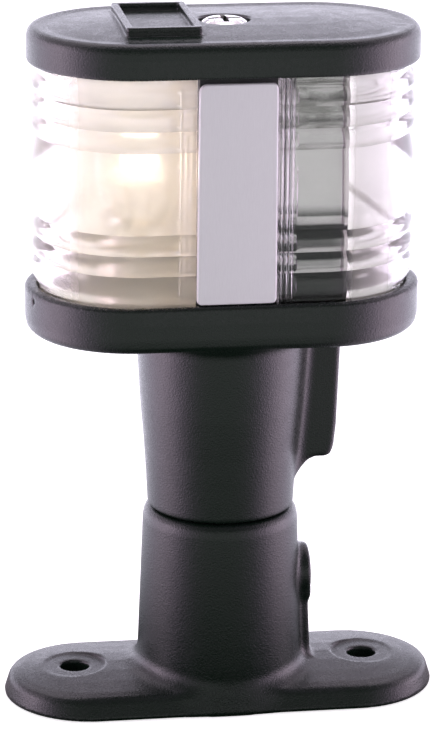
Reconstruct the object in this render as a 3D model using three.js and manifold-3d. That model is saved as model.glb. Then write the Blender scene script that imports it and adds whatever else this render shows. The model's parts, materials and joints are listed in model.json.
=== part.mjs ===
// Two-lamp boat navigation light on a pedestal.
// Millimetres, +Z up. The origin is the centre of the base's underside, X runs along the base, -Y is the front.
import * as THREE from "three";
import { mergeVertices } from "three/addons/utils/BufferGeometryUtils.js";
import Module from "manifold-3d";

const wasm = await Module();
wasm.setup();

// ---------------------------------------------------------------- driving dimensions
const SEG = 30; // facets of a large round, with one on each end of X and a side straddling Y
const SMALL = 14; // facets of a small round

// mounting base
const BASE_R = 17.1; // end radius of the flange at its foot
const BASE_H = 25.4; // half distance between the flange's end centres
const FLANGE_TOP = 5.9; // height of the crowned flange on its centre line
const FIX_X = 28.6; // fixing holes, from the centre
const FIX_R = 2.8;
const SPOT_R = 6.0;
const SPOT_Z = 5.2;
const SOCKET_TOP = 38.0;
const SOCKET_BORE = 12.5;
const BORE_FLOOR = 16.0;
const WEB_R = 8.0; // cable hole in the floor of the socket
const CAVITY_R = 13.2;
const CAVITY_TOP = 12.0;
const CLAMP_Z = 23.3; // axis of the clamp screw
const BOSS_R = 5.4;
const BOSS_X = 17.4;
const BOSS_SEAT = 15.2; // floor of the recess in the boss

// light body: spigot, neck, lug and tray
const SPIGOT_R = 12.2;
const SPIGOT_FOOT = 18.0;
const SHOULDER = 38.3;
const NECK_BORE = 10.5;
const NECK_ROOF = 68.0;
const TRAY_R = 20.1;
const TRAY_H = 17.6;
const TRAY_FOOT = 73.9;
const TRAY_TOP = 83.2;
const FLOOR_Z = 77.2; // inside floor of the tray
const LEDGE_Z = 80.2; // ledge that the lens stands on
const LENS_H = 16.6; // half distance between the lens's end centres
const SEAT_R = 18.8; // end radius of the recess that takes the lens skirt
const WELL_R = 16.2;
const PILLAR_R = 4.4;
const PILLAR_TOP = 81.2;

// lens halves
const LENS_VALLEY = 18.9; // end radius in the grooves between the ribs
const LENS_RIB = 19.7; // end radius on the ribs
const SKIRT_R = 18.4;
const LENS_IN = 16.2;
const LENS_FOOT = 81.2;
const LENS_HEAD = 128.2;
const LENS_EDGE = 7.8; // each half starts this far from the middle
const EDGE_BAR = 10.8; // far side of the thick upright bar along that edge
const LENS_CENTRE = 104.6; // height of the lamp filaments and of the wide middle band

// cap
const CAP_R = 20.1;
const CAP_H = 17.05;
const CAP_FOOT = 126.1;
const CAP_TOP = 133.5;
const CAP_RECESS = 129.3;
const SCREW_SEAT = 131.4;

// lamps
const LAMP_X = 16.0;
const PIN_Z = 88.0;
const PITCH = 0.7; // thread pitch of both machine screws

// ---------------------------------------------------------------- helpers
function solid(geometry) {
  const g = geometry.clone();
  for (const key of Object.keys(g.attributes)) if (key !== "position") g.deleteAttribute(key);
  const merged = mergeVertices(g, 1e-4);
  const vertProperties = new Float32Array(merged.attributes.position.array);
  const index = merged.index.array;
  const keep = [];
  for (let i = 0; i < index.length; i += 3) {
    const [a, b, c] = [index[i], index[i + 1], index[i + 2]];
    if (a !== b && b !== c && c !== a) keep.push(a, b, c);
  }
  let triVerts = new Uint32Array(keep);
  let made = new wasm.Manifold(new wasm.Mesh({ numProp: 3, vertProperties, triVerts }));
  if (made.volume() < 0) {
    triVerts = triVerts.slice();
    for (let i = 0; i < triVerts.length; i += 3) [triVerts[i + 1], triVerts[i + 2]] = [triVerts[i + 2], triVerts[i + 1]];
    made = new wasm.Manifold(new wasm.Mesh({ numProp: 3, vertProperties, triVerts }));
  }
  return made;
}

function geometryOf(made) {
  const m = made.getMesh();
  const n = m.numProp;
  const v = new Float32Array((m.vertProperties.length / n) * 3);
  for (let i = 0; i < v.length / 3; i++) v.set(m.vertProperties.subarray(i * n, i * n + 3), i * 3);
  const g = new THREE.BufferGeometry();
  g.setAttribute("position", new THREE.BufferAttribute(v, 3));
  g.setIndex(new THREE.BufferAttribute(new Uint32Array(m.triVerts), 1));
  g.computeVertexNormals();
  return g;
}

// A lathe about Z. Each profile point is [radius, z] or [radius, z, half], where half moves the two halves of the ring
// apart along X, which turns the round section into one with straight sides and round ends.
function turned(profile, segments = SEG, half = 0) {
  const pts = profile.map(([r, z]) => new THREE.Vector2(r, z));
  const g = new THREE.LatheGeometry(pts, segments);
  const p = g.attributes.position;
  const n = pts.length;
  const stretch = half !== 0 || profile.some((q) => q.length > 2);
  const flat = stretch ? 1 / Math.cos(Math.PI / segments) : 1;
  for (let i = 0; i <= segments; i++) {
    const a = ((i % segments) * 2 * Math.PI) / segments;
    for (let j = 0; j < n; j++) {
      const k = i * n + j;
      const [r, z, h] = profile[j];
      const x = r * Math.cos(a);
      const y = r * Math.sin(a) * flat;
      p.setXYZ(k, x + Math.sign(Math.round(Math.cos(a) * 1e9)) * (h ?? half), y, z);
    }
  }
  return solid(g);
}

// A round bar between two heights, about an axis along Z through (x, y).
const bar = (r, z0, z1, x = 0, y = 0, segments = SMALL) => move(solid(new THREE.CylinderGeometry(r, r, z1 - z0, segments).rotateX(Math.PI / 2)), x, y, (z0 + z1) / 2);
// A round bar along X.
const barX = (r, x0, x1, y, z, segments = SMALL) => move(solid(new THREE.CylinderGeometry(r, r, x1 - x0, segments).rotateZ(Math.PI / 2)), (x0 + x1) / 2, y, z);
const block = (x0, x1, y0, y1, z0, z1) => solid(new THREE.BoxGeometry(x1 - x0, y1 - y0, z1 - z0).translate((x0 + x1) / 2, (y0 + y1) / 2, (z0 + z1) / 2));
const move = (s, x, y, z) => s.translate([x, y, z]);
const cut = (s, ...tools) => tools.reduce((a, t) => a.subtract(t), s);
const join = (...s) => s.reduce((a, b) => a.add(b));

// A plate from an outline in XY, between two heights.
function plate(points, z0, z1, holes = []) {
  const shape = new THREE.Shape(points.map(([x, y]) => new THREE.Vector2(x, y)));
  for (const h of holes) shape.holes.push(new THREE.Path(h.map(([x, y]) => new THREE.Vector2(x, y))));
  return solid(new THREE.ExtrudeGeometry(shape, { depth: z1 - z0, bevelEnabled: false }).translate(0, 0, z0));
}
// The outline drawn in XZ, extruded along Y.
function plateY(points, y0, y1) {
  const shape = new THREE.Shape(points.map(([x, z]) => new THREE.Vector2(x, z)));
  return solid(new THREE.ExtrudeGeometry(shape, { depth: y1 - y0, bevelEnabled: false }).rotateX(Math.PI / 2).translate(0, y1, 0));
}
const circle = (r, n = SMALL, x = 0, y = 0, a0 = 0) => Array.from({ length: n }, (_, i) => [x + r * Math.cos(a0 + (2 * Math.PI * i) / n), y + r * Math.sin(a0 + (2 * Math.PI * i) / n)]);
const stadium = (r, h, z0, z1) => turned([[0, z0], [r, z0], [r, z1], [0, z1]], SEG, h);
// A washer, sleeve or ring of rectangular section.
const sleeve = (rIn, rOut, z0, z1, segments = SMALL) => turned([[rIn, z0], [rOut, z0], [rOut, z1], [rIn, z1], [rIn, z0]], segments);

const group = new THREE.Group();
const material = (color, roughness, metalness = 0, opacity = 1) => new THREE.MeshStandardMaterial({ color, roughness, metalness, opacity, transparent: opacity < 1 });
function node(name, s, mat, parent = group) {
  const mesh = new THREE.Mesh(geometryOf(s), mat);
  mesh.name = name;
  parent.add(mesh);
  return mesh;
}
const BLACK = () => material(0x24262a, 0.55);
const CLEAR = () => material(0xf4f6f2, 0.05, 0, 0.35);
const RUBBER = () => material(0x151515, 0.9);
const STEEL = () => material(0xc4c4c8, 0.3, 1);
const BRASS = () => material(0xb58b3f, 0.35, 1);
const SATIN = () => material(0xc9c5cd, 0.35, 0.6);

// ---------------------------------------------------------------- mounting base
{
  const flange = turned([
    [0, 0, BASE_H], [BASE_R, 0, BASE_H], [15.5, 3.3, 26.0], [14.8, 4.05, 26.1], [13.0, 4.6, 26.2],
    [9.0, 5.25, 26.2], [4.5, 5.72, 26.2], [0, FLANGE_TOP, 26.2],
  ]);
  const tube = turned([
    [0, 0.6], [16.2, 0.6], [16.0, 9], [15.5, 22.5], [15.0, 36.6], [14.6, 37.5], [13.8, SOCKET_TOP], [0, SOCKET_TOP],
  ]);
  const boss = turned([[0, 10], [BOSS_R, 10], [BOSS_R, BOSS_X - 0.4], [BOSS_R - 0.4, BOSS_X], [0, BOSS_X]], 20).rotate([0, 90, 0]);
  const rib = plateY([[13, 4.5], [18.1, 4.5], [17.8, 7], [17.35, 16], [17.1, CLAMP_Z], [13, CLAMP_Z]], -3, 3);
  let base = join(flange, tube, move(boss, 0, 0, CLAMP_Z), rib);
  base = cut(
    base,
    bar(SOCKET_BORE, BORE_FLOOR, 40, 0, 0, 28),
    bar(WEB_R, 8, 20, 0, 0, 16),
    bar(CAVITY_R, -1, CAVITY_TOP, 0, 0, 24),
    barX(3.0, 5, BOSS_X + 1, 0, CLAMP_Z),
    barX(3.9, BOSS_SEAT, BOSS_X + 1, 0, CLAMP_Z),
  );
  for (const s of [-1, 1]) base = cut(base, bar(FIX_R, -1, 10, s * FIX_X, 0), bar(SPOT_R, SPOT_Z, 10, s * FIX_X, 0, 18));
  node("mounting_base", base, BLACK());
}

// threaded insert, lock washer and clamp screw in the socket's boss
node("clamp_insert", move(sleeve(2.15, 2.9, 12.9, 15.0).rotate([0, 90, 0]), 0, 0, CLAMP_Z), BRASS());
node("clamp_washer", move(sleeve(2.2, 3.6, 15.3, 15.75).rotate([0, 90, 0]), 0, 0, CLAMP_Z), STEEL());
{
  let screw = turned([[0, 11.75], [1.2, 11.75], [2.0, 12.55], [2.0, 15.85], [3.4, 15.85], [3.3, 16.95], [2.5, 17.5], [0, 17.5]], 16);
  screw = screw.rotate([0, 90, 0]);
  screw = cut(screw, block(16.6, 20, -4, 4, -0.4, 0.4));
  node("clamp_screw", move(screw, 0, 0, CLAMP_Z), STEEL());
}

// ---------------------------------------------------------------- light body
{
  const neck = turned([
    [0, SPIGOT_FOOT], [11.6, SPIGOT_FOOT], [SPIGOT_R, 18.6], [SPIGOT_R, 21.5], [11.4, 22.3], [11.4, 24.3], [SPIGOT_R, 25.1], [SPIGOT_R, 31.6],
    [10.95, 31.6], [10.95, 34.2], [SPIGOT_R, 34.2], [SPIGOT_R, SHOULDER], [13.8, SHOULDER], [14.15, 38.7], [14.5, 45], [14.9, 51],
    [15.6, 59], [16.1, 67], [16.4, 72.5], [17.3, 74.8], [0, 74.8],
  ], 28);
  const tray = turned([
    [0, TRAY_FOOT], [17.1, TRAY_FOOT], [18.8, 74.3], [19.8, 75.3], [TRAY_R, 76.9], [TRAY_R, 82.7], [19.6, TRAY_TOP], [0, TRAY_TOP],
  ], SEG, TRAY_H);
  // lug: upright web on the neck's +X side, rounded at its lower outer corner and running into the neck below
  const lug = plateY([
    [12, 44.6], [14.6, 45.0], [15.8, 45.9], [16.9, 46.9], [18.1, 47.4], [20.0, 47.4], [21.0, 47.8], [21.5, 48.7], [21.8, 50], [22.2, 54],
    [22.6, 66], [22.8, 72.5], [23.6, 75.2], [12, 75.2],
  ], -3.3, 3.3);
  let body = join(neck, tray, lug);
  const pillar = bar(PILLAR_R, 70, PILLAR_TOP, 0, 0, 16);
  const ribs = [block(-1, 1, -16.6, -6.9, 76.5, LEDGE_Z - 0.1), block(-1, 1, 6.9, 16.6, 76.5, LEDGE_Z - 0.1)];
  body = cut(body, stadium(SEAT_R, LENS_H, LEDGE_Z, 90), stadium(WELL_R, LENS_H, FLOOR_Z, 90));
  body = join(body, pillar, ...ribs);
  body = cut(
    body,
    turned([[0, 10], [NECK_BORE, 10], [NECK_BORE, 65.5], [7.5, NECK_ROOF], [0, NECK_ROOF]], 24),
    block(-9.8, -5.0, -4.6, 4.6, 60, 79),
    block(5.0, 9.8, -4.6, 4.6, 60, 79),
    bar(3.0, 72, 90, 0, 0),
    bar(2.2, 69.6, 74, 0, 0),
    bar(1.1, 75.3, 80, -28.6, 0, 12),
    bar(1.1, 75.3, 80, 28.6, 0, 12),
  );
  node("light_body", body, BLACK());
}
// seal ring in the spigot's groove
{
  const ring = Array.from({ length: 9 }, (_, i) => [11.7 + 0.68 * Math.cos((i * Math.PI) / 4), 32.9 + 0.68 * Math.sin((i * Math.PI) / 4)]);
  ring[8] = ring[0];
  node("spigot_seal", turned(ring, 28), RUBBER());
}
node("cap_screw_insert", sleeve(2.15, 2.9, 72.3, 81.0), BRASS());

// ---------------------------------------------------------------- gaskets
const gasket = (z0, z1) => cut(stadium(18.55, LENS_H, z0, z1), stadium(16.6, LENS_H, z0 - 1, z1 + 1));
node("lens_gasket_lower", gasket(80.3, 81.1), RUBBER());

// ---------------------------------------------------------------- lens halves
{
  const V = LENS_VALLEY, R = LENS_RIB;
  const profile = [[0, LENS_FOOT], [SKIRT_R, LENS_FOOT], [SKIRT_R, 83.4], [V, 84.2]];
  const rib = (z0, z1) => profile.push([R, z0 + 0.34 * (z1 - z0)], [R, z0 + 0.66 * (z1 - z0)], [V, z1]);
  rib(84.2, 89.0); rib(89.0, 92.9); rib(92.9, 96.9);
  const B = R + 0.3;
  profile.push([R - 0.15, 98.9], [B, LENS_CENTRE], [R - 0.15, 110.4], [V, 112.4]);
  rib(112.4, 116.4); rib(116.4, 120.5); rib(120.5, 124.5);
  profile.push([SKIRT_R, 125.3], [SKIRT_R, LENS_HEAD], [0, LENS_HEAD]);
  const outer = turned(profile, SEG, LENS_H);
  const inner = stadium(LENS_IN, LENS_H, LENS_FOOT - 1, LENS_HEAD + 1);
  const shell = cut(outer, inner);
  for (const [name, s] of [["lens_left", -1], ["lens_right", 1]]) {
    const x0 = LENS_EDGE, x1 = 60;
    const half = shell.intersect(s > 0 ? block(x0, x1, -30, 30, 70, 140) : block(-x1, -x0, -30, 30, 70, 140));
    const bars = [-1, 1].map((t) => {
      const xs = s > 0 ? [LENS_EDGE, EDGE_BAR] : [-EDGE_BAR, -LENS_EDGE];
      const ys = t > 0 ? [15.2, 18.7] : [-18.7, -15.2];
      return block(xs[0], xs[1], ys[0], ys[1], 84.6, 124.9);
    });
    node(name, join(half, ...bars), CLEAR());
  }
}

// ---------------------------------------------------------------- partition, front and back plates, cut-off shield
{
  // H-section partition between the two lamp compartments, with a tube for the cap screw
  const outline = [
    [-7.2, -18.4], [7.2, -18.4], [7.2, -15.2], [1.0, -15.2], [1.0, -4.2], ...[-60, -30, 0, 30, 60].map((a) => [4.3 * Math.cos((a * Math.PI) / 180) + 0, 4.3 * Math.sin((a * Math.PI) / 180)]),
    [1.0, 4.2], [1.0, 15.2], [7.2, 15.2], [7.2, 18.4], [-7.2, 18.4], [-7.2, 15.2], [-1.0, 15.2], [-1.0, 4.2],
    ...[120, 150, 180, 210, 240].map((a) => [4.3 * Math.cos((a * Math.PI) / 180), 4.3 * Math.sin((a * Math.PI) / 180)]), [-1.0, -4.2], [-1.0, -15.2], [-7.2, -15.2],
  ];
  node("partition", plate(outline, 81.4, 128.0, [circle(2.7, 16)]), material(0xd8d4cc, 0.4));
}
{
  const W0 = 7.65, W1 = 7.1, Z0 = 83.5, Z1 = 125.2, C = 1.4;
  const outline = [];
  const corner = (cx, cz, a0) => { for (let i = 0; i <= 4; i++) { const a = ((a0 + i * 22.5) * Math.PI) / 180; outline.push([cx + C * Math.cos(a), cz + C * Math.sin(a)]); } };
  corner(W1 - C + 0.5, Z1 - C, 0); corner(-W1 + C + 0.5, Z1 - C, 90); corner(-W0 + C, Z0 + C, 180); corner(W0 - C, Z0 + C, 270);
  node("front_plate", plateY(outline, -19.75, -18.55), SATIN());
  node("back_plate", plateY(outline, -19.75, -18.55).rotate([0, 0, 180]), SATIN());
}
{
  const t = 0.6;
  const X0 = 5.2, X1 = 21.0, Y = 12.6, L = 14.6;
  const outline = [[X0, -Y], [X1 - t, -Y], [X1 - t, -L], [X1, -L], [X1, -Y + t], [X0 + t, -Y + t], [X0 + t, Y - t], [X1, Y - t], [X1, L], [X1 - t, L], [X1 - t, Y], [X0, Y]];
  node("sector_shield", plate(outline, 78.5, 127.6), STEEL());
}

// ---------------------------------------------------------------- lamp holders and lamps
{
  const strip = [[-31.4, -4.5], [-29.5, -6.4], [29.5, -6.4], [31.4, -4.5], [31.4, 4.5], [29.5, 6.4], [-29.5, 6.4], [-31.4, 4.5]];
  const slot = (x0, x1) => [[x0, -4.2], [x1, -4.2], [x1, 4.2], [x0, 4.2]];
  node("lamp_bracket", plate(strip, 77.35, 78.15, [circle(4.8, 16), circle(5.7, 16, -LAMP_X), circle(5.7, 16, LAMP_X), circle(1.4, 8, -28.6), circle(1.4, 8, 28.6), slot(-9.6, -5.3), slot(5.3, 9.6)]), BRASS());
}
for (const [side, x] of [["left", -28.6], ["right", 28.6]]) {
  const screw = turned([[0, 75.6], [0.95, 75.6], [0.95, 78.25], [2.1, 78.25], [2.1, 78.9], [1.4, 79.6], [0, 79.6]], 12);
  node("bracket_screw_" + side, move(cut(screw, block(-3, 3, -0.3, 0.3, 79.1, 80)), x, 0, 0), STEEL());
}
for (const [side, x] of [["left", -LAMP_X], ["right", LAMP_X]]) {
  const place = (s) => move(s, x, 0, 0);
  // bayonet shell: cup with an upright entry slot and a short cross slot for each pin
  let shell = turned([[5.6, 78.25], [8.3, 78.25], [8.3, 91.2], [7.85, 91.2], [7.85, 78.95], [5.6, 78.95], [5.6, 78.25]], 20);
  for (const turn of [90, 270]) {
    const sector = [];
    for (let a = -9; a <= 29; a += 9.5) sector.push([9.2 * Math.cos(((turn + a) * Math.PI) / 180), 9.2 * Math.sin(((turn + a) * Math.PI) / 180)]);
    for (let a = 29; a >= -9; a -= 9.5) sector.push([7.0 * Math.cos(((turn + a) * Math.PI) / 180), 7.0 * Math.sin(((turn + a) * Math.PI) / 180)]);
    shell = cut(shell, plate(sector, PIN_Z - 1.15, PIN_Z + 1.15), block(7.0, 9.2, -1.25, 1.25, PIN_Z - 1.15, 93).rotate([0, 0, turn + 20]));
  }
  node("socket_shell_" + side, place(shell), STEEL());
  node("socket_insulator_" + side, place(turned([[1.7, 77.5], [5.3, 77.5], [5.3, 79.1], [7.5, 79.1], [7.5, 79.8], [1.7, 79.8], [1.7, 77.5]], 16)), material(0x6b3a22, 0.6));
  node("contact_" + side, place(turned([[0, 78.5], [1.4, 78.5], [1.4, 81.3], [2.8, 81.3], [2.6, 82.1], [0, 82.1]], 12)), BRASS());
  // lamp: metal base with two pins, open glass envelope, mount with filament
  let base = turned([[0, 82.2], [1.8, 82.2], [2.3, 82.9], [6.6, 83.3], [7.4, 84.3], [7.4, 92.6], [6.4, 92.6], [6.4, 84.7], [0, 84.7]], 20);
  base = join(base, move(solid(new THREE.CylinderGeometry(0.8, 0.8, 1.9, 8)), 0, 7.9, PIN_Z), move(solid(new THREE.CylinderGeometry(0.8, 0.8, 1.9, 8)), 0, -7.9, PIN_Z));
  node("lamp_base_" + side, place(base), BRASS());
  const glass = [];
  const R = 8.6, T = 0.7, C = LENS_CENTRE;
  glass.push([5.5, 86.2], [6.2, 86.2], [6.2, 93.2]);
  for (const a of [-48, -24, 0, 24, 48, 70]) glass.push([R * Math.cos((a * Math.PI) / 180), C + R * Math.sin((a * Math.PI) / 180)]);
  glass.push([0, C + R], [0, C + R - T]);
  for (const a of [70, 48, 24, 0, -24, -48]) glass.push([(R - T) * Math.cos((a * Math.PI) / 180), C + (R - T) * Math.sin((a * Math.PI) / 180)]);
  glass.push([5.5, 93.6], [5.5, 86.2]);
  node("lamp_glass_" + side, place(turned(glass, 18)), material(0xfdf6e6, 0.05, 0, 0.3));
  const stem = turned([[0, 84.9], [4.9, 84.9], [4.9, 86.5], [2.4, 89.5], [1.5, 96.3], [0, 96.3]], 10);
  const leadL = new THREE.ExtrudeGeometry(new THREE.Shape(circle(0.22, 5).map(([a, b]) => new THREE.Vector2(a, b))), {
    steps: 4, bevelEnabled: false,
    extrudePath: new THREE.CatmullRomCurve3([new THREE.Vector3(-0.7, 0, 95.2), new THREE.Vector3(-1.4, 0, 98.5), new THREE.Vector3(-2.9, 0, 102.2), new THREE.Vector3(-3.1, 0, C)]),
  });
  const leadR = new THREE.ExtrudeGeometry(new THREE.Shape(circle(0.22, 5).map(([a, b]) => new THREE.Vector2(a, b))), {
    steps: 4, bevelEnabled: false,
    extrudePath: new THREE.CatmullRomCurve3([new THREE.Vector3(0.7, 0, 95.2), new THREE.Vector3(1.4, 0, 98.5), new THREE.Vector3(2.9, 0, 102.2), new THREE.Vector3(3.1, 0, C)]),
  });
  const coil = move(solid(new THREE.CylinderGeometry(0.45, 0.45, 6.6, 8).rotateZ(Math.PI / 2)), 0, 0, C);
  node("lamp_filament_" + side, place(join(stem, solid(leadL), solid(leadR), coil)), material(0xe8c890, 0.4));
}

// ---------------------------------------------------------------- cap, its gasket and screw
{
  const shell = turned([
    [0, CAP_FOOT], [19.8, CAP_FOOT], [CAP_R, 126.6], [CAP_R - 0.05, 131.7], [19.75, 132.3], [18.8, 132.65],
    [13.0, 133.1], [6.0, 133.4], [0, CAP_TOP],
  ], SEG, CAP_H);
  let cap = cut(shell, stadium(SEAT_R, LENS_H, CAP_FOOT - 1, CAP_RECESS));
  // raised frame of the blank name panel
  const frame = cut(block(-19.9, -5.9, -12.6, 12.2, 131, 134.5), block(-18.6, -7.2, -11.3, 10.9, 130, 136));
  cap = join(cap, frame);
  cap = cut(cap, bar(2.5, 120, 140, 0, 0), bar(4.9, SCREW_SEAT, 140, 0, 0, 20));
  node("cap", cap, BLACK());
}
node("lens_gasket_upper", gasket(128.3, 129.2), RUBBER());
node("cap_washer", sleeve(2.2, 4.4, 131.5, 131.95, 16), RUBBER());
{
  let screw = turned([[0, 75.3], [1.4, 75.3], [2.0, 75.9], [2.0, 132.05], [4.45, 132.05], [4.35, 132.9], [3.3, 133.5], [0, 133.75]], 16);
  screw = cut(screw, block(-0.55, 0.55, -3.1, 3.1, 132.6, 135), block(-3.1, 3.1, -0.55, 0.55, 132.6, 135));
  node("cap_screw", screw, STEEL());
}

export default group;
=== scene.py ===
import json
import math

import bpy
import numpy as np
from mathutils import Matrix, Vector

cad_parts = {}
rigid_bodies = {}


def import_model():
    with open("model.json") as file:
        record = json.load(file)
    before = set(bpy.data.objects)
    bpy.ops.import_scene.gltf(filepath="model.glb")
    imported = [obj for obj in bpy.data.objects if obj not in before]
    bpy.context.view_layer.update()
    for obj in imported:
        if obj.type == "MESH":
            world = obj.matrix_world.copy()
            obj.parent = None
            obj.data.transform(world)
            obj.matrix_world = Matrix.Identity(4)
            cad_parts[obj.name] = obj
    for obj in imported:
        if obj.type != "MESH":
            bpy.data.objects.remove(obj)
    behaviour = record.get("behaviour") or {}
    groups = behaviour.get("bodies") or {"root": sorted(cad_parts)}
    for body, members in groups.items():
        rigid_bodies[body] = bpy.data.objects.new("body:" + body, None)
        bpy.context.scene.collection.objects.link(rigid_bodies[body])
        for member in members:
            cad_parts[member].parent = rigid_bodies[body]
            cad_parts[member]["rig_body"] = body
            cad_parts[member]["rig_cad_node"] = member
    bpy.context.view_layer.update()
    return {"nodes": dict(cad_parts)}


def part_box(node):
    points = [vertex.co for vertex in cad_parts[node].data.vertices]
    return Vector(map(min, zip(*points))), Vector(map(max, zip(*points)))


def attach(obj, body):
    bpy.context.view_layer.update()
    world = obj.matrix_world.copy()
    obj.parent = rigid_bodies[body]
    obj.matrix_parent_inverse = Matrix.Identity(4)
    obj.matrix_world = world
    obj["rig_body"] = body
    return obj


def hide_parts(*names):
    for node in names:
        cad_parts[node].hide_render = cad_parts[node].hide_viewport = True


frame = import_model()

MM = 0.001

# ------------------------------------------------------------------ signed distances, in millimetres


def smin(a, b, k):
    h = np.clip(0.5 + 0.5 * (b - a) / k, 0.0, 1.0)
    return b * (1 - h) + a * h - k * h * (1 - h)


def smax(a, b, k):
    return -smin(-a, -b, k)


def rounded(points, radii, steps=5):
    """A closed outline with its corners rounded. radii is one number or one for each corner."""
    pts = [np.array(p, float) for p in points]
    n = len(pts)
    if not hasattr(radii, "__len__"):
        radii = [radii] * n
    out = []
    for i in range(n):
        a, b, c = pts[i - 1], pts[i], pts[(i + 1) % n]
        r = radii[i]
        u, w = a - b, c - b
        lu, lw = np.linalg.norm(u), np.linalg.norm(w)
        u, w = u / lu, w / lw
        cosang = float(np.clip(u @ w, -1, 1))
        if r <= 0 or cosang < -0.999:
            out.append(b)
            continue
        half = math.acos(cosang) / 2
        t = min(r / math.tan(half), 0.45 * lu, 0.45 * lw)
        rr = t * math.tan(half)
        mid = (u + w) / np.linalg.norm(u + w)
        centre = b + mid * (rr / math.sin(half))
        p0, p1 = b + u * t - centre, b + w * t - centre
        a0, a1 = math.atan2(p0[1], p0[0]), math.atan2(p1[1], p1[0])
        d = (a1 - a0 + math.pi) % (2 * math.pi) - math.pi
        for s in range(steps + 1):
            ang = a0 + d * s / steps
            out.append(centre + rr * np.array([math.cos(ang), math.sin(ang)]))
    return np.array(out)


def polygon_distance(points, x, y):
    pts = np.asarray(points, float)
    d2 = np.full(np.broadcast(x, y).shape, 1e18)
    inside = np.zeros(d2.shape, bool)
    n = len(pts)
    for i in range(n):
        ax, ay = pts[i]
        bx, by = pts[(i + 1) % n]
        ex, ey = bx - ax, by - ay
        ll = ex * ex + ey * ey
        if ll < 1e-14:
            continue
        t = np.clip(((x - ax) * ex + (y - ay) * ey) / ll, 0, 1)
        dx, dy = x - ax - t * ex, y - ay - t * ey
        d2 = np.minimum(d2, dx * dx + dy * dy)
        if ay != by:
            crosses = (ay > y) != (by > y)
            inside ^= crosses & (x < (bx - ax) * (y - ay) / (by - ay) + ax)
    d = np.sqrt(d2)
    return np.where(inside, -d, d)


class Profile:
    """Distance to a closed outline in a plane, kept on a fine table."""

    def __init__(self, points, pad=6.0, step=0.08):
        pts = np.asarray(points, float)
        self.lo = pts.min(0) - pad
        hi = pts.max(0) + pad
        self.step = step
        self.n = np.ceil((hi - self.lo) / step).astype(int) + 2
        a = self.lo[0] + step * np.arange(self.n[0])
        b = self.lo[1] + step * np.arange(self.n[1])
        self.table = polygon_distance(pts, a[:, None], b[None, :])

    def __call__(self, a, b):
        u = np.clip((a - self.lo[0]) / self.step, 0, self.n[0] - 1.001)
        v = np.clip((b - self.lo[1]) / self.step, 0, self.n[1] - 1.001)
        i, j = u.astype(np.int32), v.astype(np.int32)
        fu, fv = u - i, v - j
        t = self.table
        return (t[i, j] * (1 - fu) * (1 - fv) + t[i + 1, j] * fu * (1 - fv)
                + t[i, j + 1] * (1 - fu) * fv + t[i + 1, j + 1] * fu * fv)


def box2(x, y, hx, hy, r):
    dx, dy = np.abs(x) - (hx - r), np.abs(y) - (hy - r)
    return np.hypot(np.maximum(dx, 0), np.maximum(dy, 0)) + np.minimum(np.maximum(dx, dy), 0) - r


# ------------------------------------------------------------------ meshes


def new_object(name, verts, faces, body, smooth=True, nodes=(), slot=None, attributes=None):
    mesh = bpy.data.meshes.new(name)
    verts = np.asarray(verts, float) * MM
    if isinstance(faces, np.ndarray):
        mesh.vertices.add(len(verts))
        mesh.vertices.foreach_set("co", verts.astype(np.float32).ravel())
        mesh.loops.add(faces.size)
        mesh.loops.foreach_set("vertex_index", faces.astype(np.int32).ravel())
        mesh.polygons.add(len(faces))
        mesh.polygons.foreach_set("loop_start", (np.arange(len(faces)) * faces.shape[1]).astype(np.int32))
        mesh.update(calc_edges=True)
    else:
        mesh.from_pydata(verts.tolist(), [], faces)
        mesh.update()
    mesh.validate()
    for key, values in (attributes or {}).items():
        mesh.attributes.new(key, "FLOAT", "POINT").data.foreach_set("value", np.asarray(values, np.float32))
    mesh.shade_smooth() if smooth else mesh.shade_flat()
    o = bpy.data.objects.new(name, mesh)
    bpy.context.scene.collection.objects.link(o)
    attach(o, body)
    if nodes:
        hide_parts(*nodes)
    return o


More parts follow.
